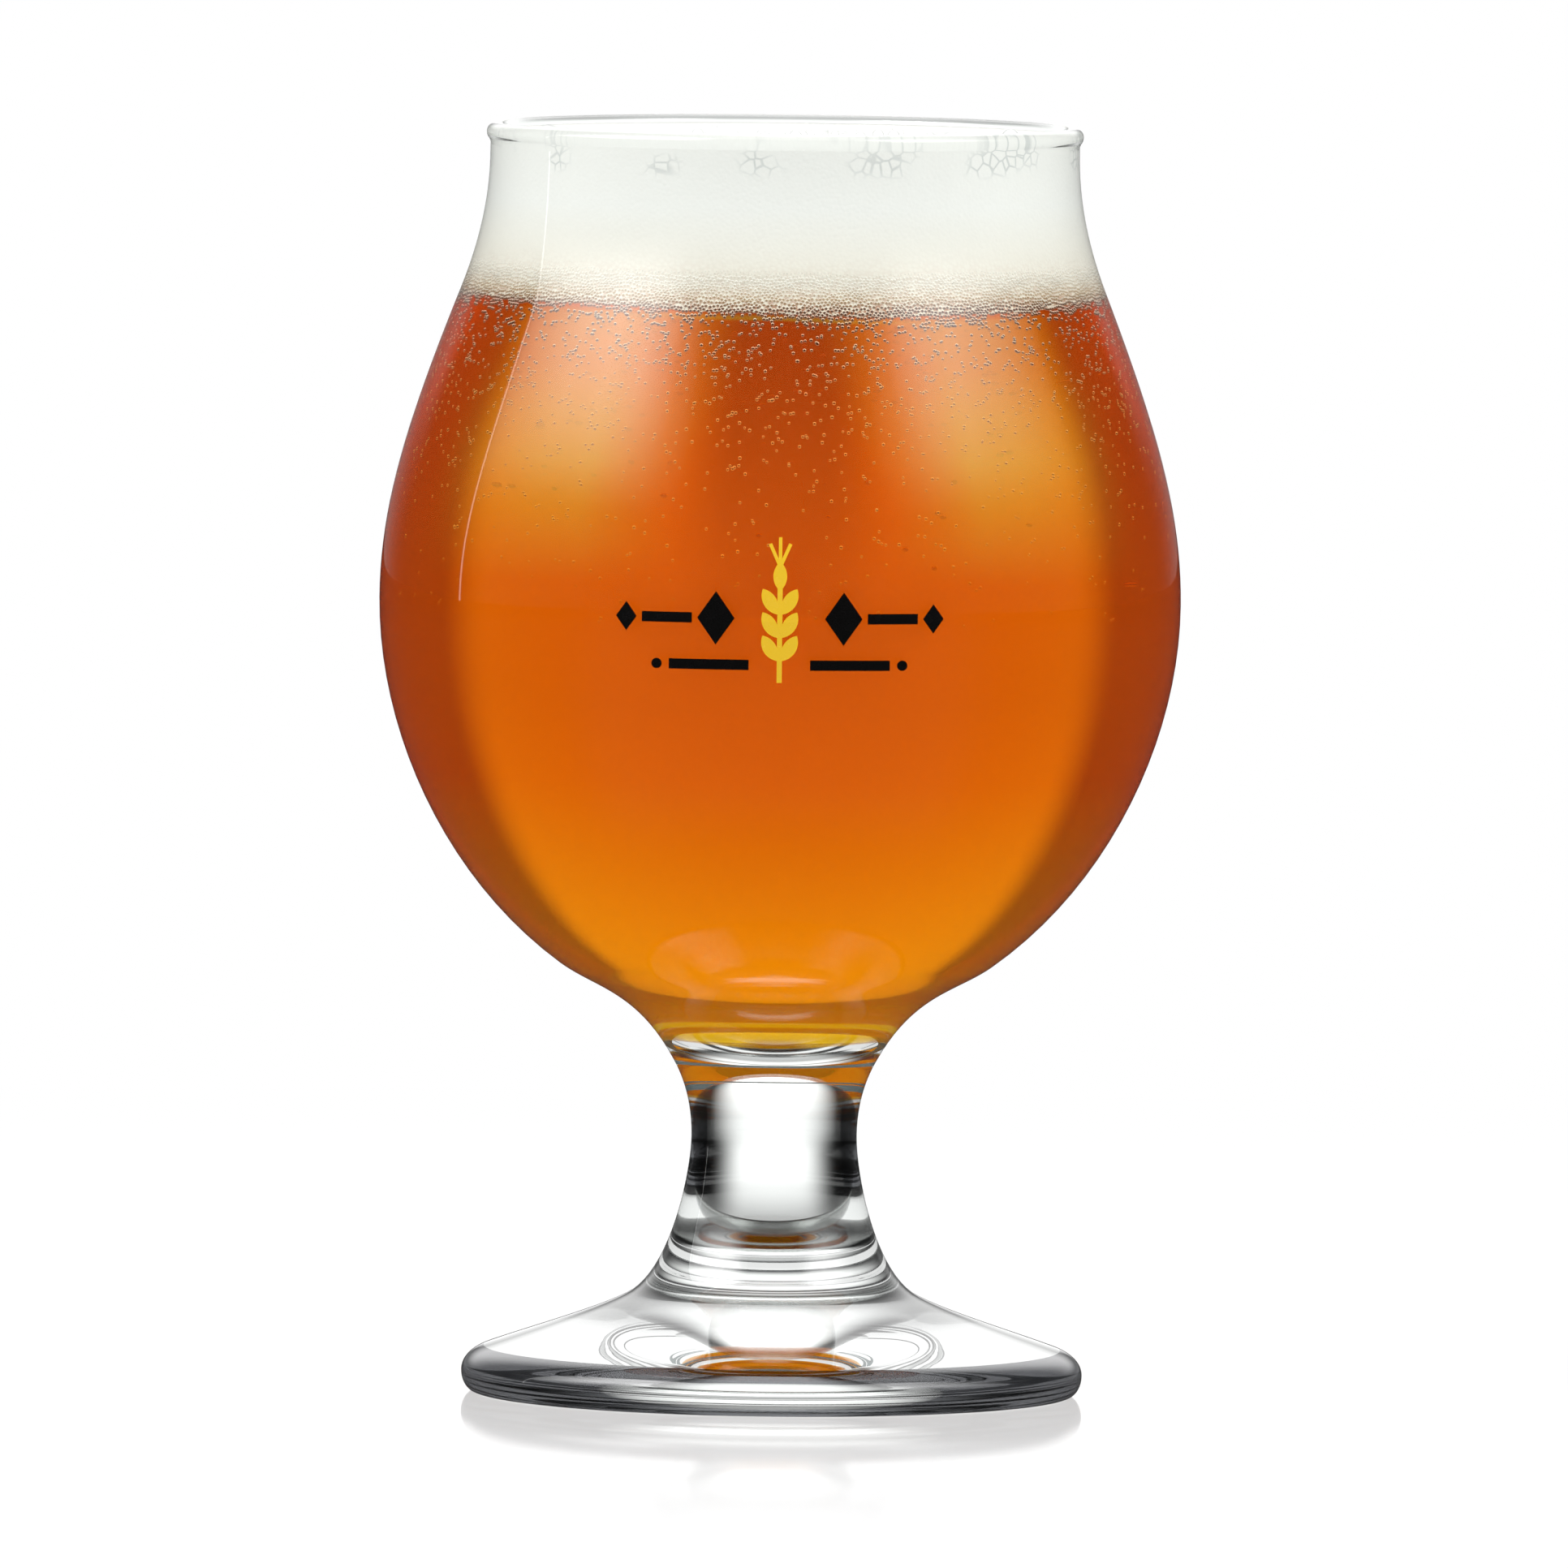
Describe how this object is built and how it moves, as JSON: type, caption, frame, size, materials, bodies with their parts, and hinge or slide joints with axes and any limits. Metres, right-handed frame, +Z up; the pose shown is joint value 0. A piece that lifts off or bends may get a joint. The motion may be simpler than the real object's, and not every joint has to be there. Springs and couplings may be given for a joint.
{
  "type": "beer glass",
  "caption": "Tulip-shaped beer glass on a short solid stem and a round foot, filled with amber beer under a head of foam, with an enamel barley ear on the front",
  "frame": {"origin": "centre of the ring the foot stands on, at table height", "axes": "+Z up along the glass's axis, -Y towards the front that carries the decoration, +X to the viewer's right"},
  "size_m": [0.094, 0.0941, 0.149],
  "materials": {
    "clear_glass": "clear soda-lime glass, fire polished",
    "beer": "clear amber liquid",
    "foam": "fine creamy froth",
    "gold_enamel": "fired yellow-gold enamel",
    "black_enamel": "fired black enamel"
  },
  "bodies": {
    "root": {"bowl": "clear_glass", "stem": "clear_glass", "foot": "clear_glass", "beer": "beer", "foam_head": "foam", "gold_print": "gold_enamel", "black_print": "black_enamel"}
  },
  "joints": []
}
